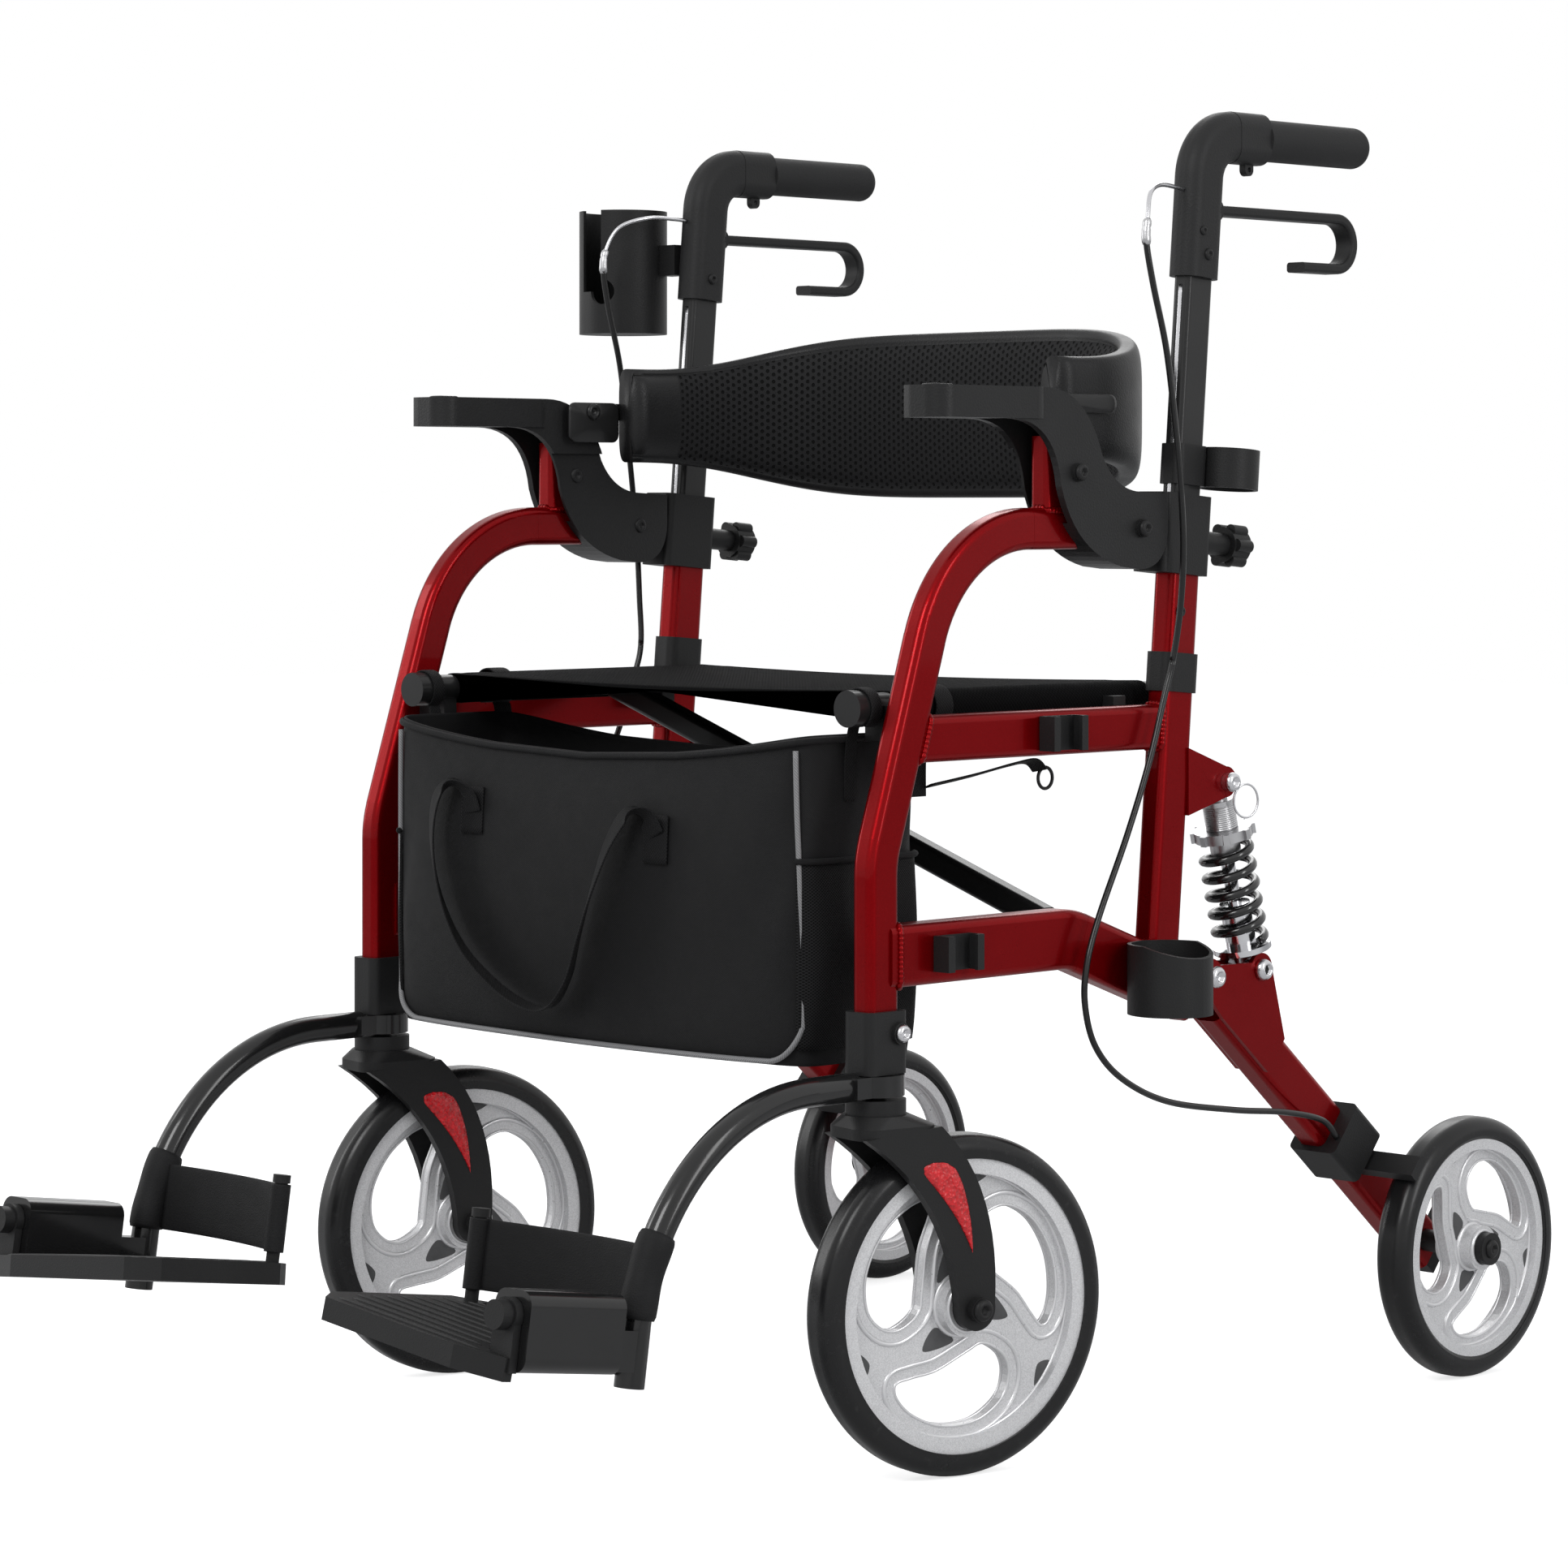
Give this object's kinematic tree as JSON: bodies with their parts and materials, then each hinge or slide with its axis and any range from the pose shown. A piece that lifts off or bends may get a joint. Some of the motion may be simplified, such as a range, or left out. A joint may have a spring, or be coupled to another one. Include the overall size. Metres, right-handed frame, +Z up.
{
  "type": "rollator transport chair",
  "caption": "Folding rollator walker that doubles as a transport chair: red tube frame, seat, turning back, footrests, casters, sprung rear wheels and brakes.",
  "frame": {"origin": "on the floor under the middle of the whole box", "axes": "+Z up, -Y the way a seated person faces, +X towards the side with the cane holder"},
  "size_m": [0.7354, 1.1195, 1.0103],
  "materials": {
    "frame_red": "glossy metallic red paint",
    "black_plastic": "satin moulded plastic",
    "fork_black": "satin black paint",
    "rim_silver": "light silver paint",
    "tyre_black": "smooth solid tyre",
    "shock_silver": "turned and threaded",
    "chrome_rod": "polished",
    "spring_black": "gloss black coating",
    "bolt_steel": "plated",
    "post_black": "satin black coating",
    "shell_black": "fine grain",
    "grip_rubber": "soft matte",
    "strap_fabric": "woven nylon",
    "cable_black": "smooth jacket",
    "back_fabric": "spacer mesh",
    "seat_fabric": "woven nylon",
    "bag_fabric": "twill nylon"
  },
  "bodies": {
    "right_frame": {"right_side_frame": "frame_red", "right_stem_collar": "black_plastic", "right_frame_fittings": "black_plastic", "right_post_clamp": "black_plastic", "right_armrest": "black_plastic", "right_pivot_bolts": "bolt_steel", "right_brake_cable": "cable_black", "cane_holder": "black_plastic", "bag": "bag_fabric"},
    "right_caster": {"right_caster_fork": "fork_black"},
    "right_front_wheel": {"right_front_rim": "rim_silver", "right_front_tyre": "tyre_black"},
    "right_arm": {"right_swing_arm": "frame_red", "right_arm_hardware": "black_plastic"},
    "right_shoe": {"right_brake_shoe": "black_plastic"},
    "right_rear_wheel": {"right_rear_rim": "rim_silver", "right_rear_tyre": "tyre_black"},
    "right_shock_upper": {"right_shock_body": "shock_silver", "right_shock_spring": "spring_black"},
    "right_shock_lower": {"right_shock_rod": "chrome_rod"},
    "right_handle": {"right_handle_post": "post_black", "right_handle_shell": "shell_black", "right_hand_grip": "grip_rubber"},
    "right_lever": {"right_brake_lever": "black_plastic"},
    "right_knob": {"right_clamp_knob": "black_plastic"},
    "right_footrest": {"right_footrest_hanger": "post_black", "right_heel_strap": "strap_fabric"},
    "right_plate": {"right_footplate": "black_plastic"},
    "left_frame": {"left_side_frame": "frame_red", "left_stem_collar": "black_plastic", "left_frame_fittings": "black_plastic", "left_post_clamp": "black_plastic", "left_armrest": "black_plastic", "left_pivot_bolts": "bolt_steel", "left_brake_cable": "cable_black"},
    "left_caster": {"left_caster_fork": "fork_black"},
    "left_front_wheel": {"left_front_rim": "rim_silver", "left_front_tyre": "tyre_black"},
    "left_arm": {"left_swing_arm": "frame_red", "left_arm_hardware": "black_plastic"},
    "left_shoe": {"left_brake_shoe": "black_plastic"},
    "left_rear_wheel": {"left_rear_rim": "rim_silver", "left_rear_tyre": "tyre_black"},
    "left_shock_upper": {"left_shock_body": "shock_silver", "left_shock_spring": "spring_black"},
    "left_shock_lower": {"left_shock_rod": "chrome_rod"},
    "left_handle": {"left_handle_post": "post_black", "left_handle_shell": "shell_black", "left_hand_grip": "grip_rubber", "cup_holder": "black_plastic"},
    "left_lever": {"left_brake_lever": "black_plastic"},
    "left_knob": {"left_clamp_knob": "black_plastic"},
    "left_footrest": {"left_footrest_hanger": "post_black", "left_heel_strap": "strap_fabric"},
    "left_plate": {"left_footplate": "black_plastic"},
    "fold_a": {"left_fold_frame": "post_black", "seat_sling": "seat_fabric"},
    "fold_b": {"right_fold_frame": "post_black"},
    "back": {"back_pad": "back_fabric", "back_bars": "post_black"}
  },
  "joints": [
    {"name": "right_caster_swivel", "type": "hinge", "parent": "right_frame", "child": "right_caster", "pos_m": [0.29025, -0.17975, 0.3], "axis": [0, 0, 1], "continuous": true},
    {"name": "right_front_wheel_spin", "type": "hinge", "parent": "right_caster", "child": "right_front_wheel", "pos_m": [0.3048, -0.11128, 0.124], "axis": [0.9781, -0.2079, 0], "continuous": true},
    {"name": "right_arm_swing", "type": "hinge", "parent": "right_frame", "child": "right_arm", "pos_m": [0.29025, 0.17625, 0.34], "axis": [1, 0, 0], "range_deg": [0, 5], "stiffness_Nm_per_rad": 400, "springref_deg": -5.73, "deforming": ["right_brake_cable"]},
    {"name": "right_rear_wheel_spin", "type": "hinge", "parent": "right_arm", "child": "right_rear_wheel", "pos_m": [0.34225, 0.45525, 0.1045], "axis": [1, 0, 0], "continuous": true},
    {"name": "right_shock_tilt", "type": "hinge", "parent": "right_frame", "child": "right_shock_upper", "pos_m": [0.29025, 0.20025, 0.489], "axis": [1, 0, 0], "range_deg": [-0.1, 0.8]},
    {"name": "right_shock_travel", "type": "slide", "parent": "right_shock_upper", "child": "right_shock_lower", "axis": [0, -0.2487, 0.9686], "range_m": [0, 0.006], "deforming": ["right_shock_spring"]},
    {"name": "right_handle_height", "type": "slide", "parent": "right_frame", "child": "right_handle", "axis": [0, 0.0854, 0.9963], "range_m": [-0.1, 0.03], "deforming": ["right_brake_cable"]},
    {"name": "right_brake_squeeze", "type": "hinge", "parent": "right_handle", "child": "right_lever", "pos_m": [0.29025, 0.19225, 0.932], "axis": [1, 0, 0], "range_deg": [0, 11], "stiffness_Nm_per_rad": 1.5, "springref_deg": -17.19},
    {"name": "right_shoe_travel", "type": "slide", "parent": "right_arm", "child": "right_shoe", "axis": [0, 0.7642, -0.645], "range_m": [0, 0.0031]},
    {"name": "right_knob_turn", "type": "hinge", "parent": "right_frame", "child": "right_knob", "pos_m": [0.29025, 0.18766, 0.67443], "axis": [0, 0.9963, -0.0854], "continuous": true},
    {"name": "right_footrest_swing", "type": "hinge", "parent": "right_frame", "child": "right_footrest", "pos_m": [0.29025, -0.17975, 0.288], "axis": [0, 0, 1], "range_deg": [0, 90]},
    {"name": "right_plate_flip", "type": "hinge", "parent": "right_footrest", "child": "right_plate", "pos_m": [0.29525, -0.47975, 0.16], "axis": [0, 0.989, -0.1478], "range_deg": [0, 75], "deforming": ["right_heel_strap"]},
    {"name": "left_caster_swivel", "type": "hinge", "parent": "left_frame", "child": "left_caster", "pos_m": [-0.25975, -0.17975, 0.3], "axis": [0, 0, 1], "continuous": true},
    {"name": "left_front_wheel_spin", "type": "hinge", "parent": "left_caster", "child": "left_front_wheel", "pos_m": [-0.2452, -0.11128, 0.124], "axis": [0.9781, -0.2079, 0], "continuous": true},
    {"name": "left_arm_swing", "type": "hinge", "parent": "left_frame", "child": "left_arm", "pos_m": [-0.25975, 0.17625, 0.34], "axis": [1, 0, 0], "range_deg": [0, 5], "stiffness_Nm_per_rad": 400, "springref_deg": -5.73, "deforming": ["left_brake_cable"]},
    {"name": "left_rear_wheel_spin", "type": "hinge", "parent": "left_arm", "child": "left_rear_wheel", "pos_m": [-0.31175, 0.45525, 0.1045], "axis": [1, 0, 0], "continuous": true},
    {"name": "left_shock_tilt", "type": "hinge", "parent": "left_frame", "child": "left_shock_upper", "pos_m": [-0.25975, 0.20025, 0.489], "axis": [1, 0, 0], "range_deg": [-0.1, 0.8]},
    {"name": "left_shock_travel", "type": "slide", "parent": "left_shock_upper", "child": "left_shock_lower", "axis": [0, -0.2487, 0.9686], "range_m": [0, 0.006], "deforming": ["left_shock_spring"]},
    {"name": "left_handle_height", "type": "slide", "parent": "left_frame", "child": "left_handle", "axis": [0, 0.0854, 0.9963], "range_m": [-0.1, 0.03], "deforming": ["left_brake_cable"]},
    {"name": "left_brake_squeeze", "type": "hinge", "parent": "left_handle", "child": "left_lever", "pos_m": [-0.25975, 0.19225, 0.932], "axis": [1, 0, 0], "range_deg": [0, 11], "stiffness_Nm_per_rad": 1.5, "springref_deg": -17.19},
    {"name": "left_shoe_travel", "type": "slide", "parent": "left_arm", "child": "left_shoe", "axis": [0, 0.7642, -0.645], "range_m": [0, 0.0031]},
    {"name": "left_knob_turn", "type": "hinge", "parent": "left_frame", "child": "left_knob", "pos_m": [-0.25975, 0.18766, 0.67443], "axis": [0, 0.9963, -0.0854], "continuous": true},
    {"name": "left_footrest_swing", "type": "hinge", "parent": "left_frame", "child": "left_footrest", "pos_m": [-0.25975, -0.17975, 0.288], "axis": [0, 0, -1], "range_deg": [0, 90]},
    {"name": "left_plate_flip", "type": "hinge", "parent": "left_footrest", "child": "left_plate", "pos_m": [-0.26475, -0.47975, 0.16], "axis": [0, -0.989, 0.1478], "range_deg": [0, 75], "deforming": ["left_heel_strap"]},
    {"name": "fold", "type": "hinge", "parent": "right_frame", "child": "fold_a", "pos_m": [0.27025, 0.03225, 0.385], "axis": [0, 1, 0], "range_deg": [0, 20], "deforming": ["seat_sling", "bag", "back_pad", "back_bars"]},
    {"name": "fold_cross", "type": "hinge", "parent": "fold_a", "child": "fold_b", "pos_m": [0.01525, 0.03225, 0.47265], "axis": [0, 1, 0], "range_deg": [-40, 0]},
    {"name": "fold_far_side", "type": "hinge", "parent": "fold_b", "child": "left_frame", "pos_m": [-0.23975, 0.03225, 0.385], "axis": [0, 1, 0], "range_deg": [0, 20]},
    {"name": "back_flip", "type": "hinge", "parent": "right_frame", "child": "back", "pos_m": [0.01525, 0.01625, 0.781], "axis": [1, 0, 0], "range_deg": [0, 180]}
  ],
  "couplings": [
    {"joint": "right_shock_tilt", "follows": "right_arm_swing", "ratio": 0.08002},
    {"joint": "right_shock_travel", "follows": "right_arm_swing", "m_per_rad": 0.060813},
    {"joint": "right_shoe_travel", "follows": "right_brake_squeeze", "m_per_rad": 0.0155},
    {"joint": "left_shock_tilt", "follows": "left_arm_swing", "ratio": 0.08002},
    {"joint": "left_shock_travel", "follows": "left_arm_swing", "m_per_rad": 0.060813},
    {"joint": "left_shoe_travel", "follows": "left_brake_squeeze", "m_per_rad": 0.0155},
    {"joint": "fold_cross", "follows": "fold", "ratio": -2},
    {"joint": "fold_far_side", "follows": "fold", "ratio": 1}
  ]
}
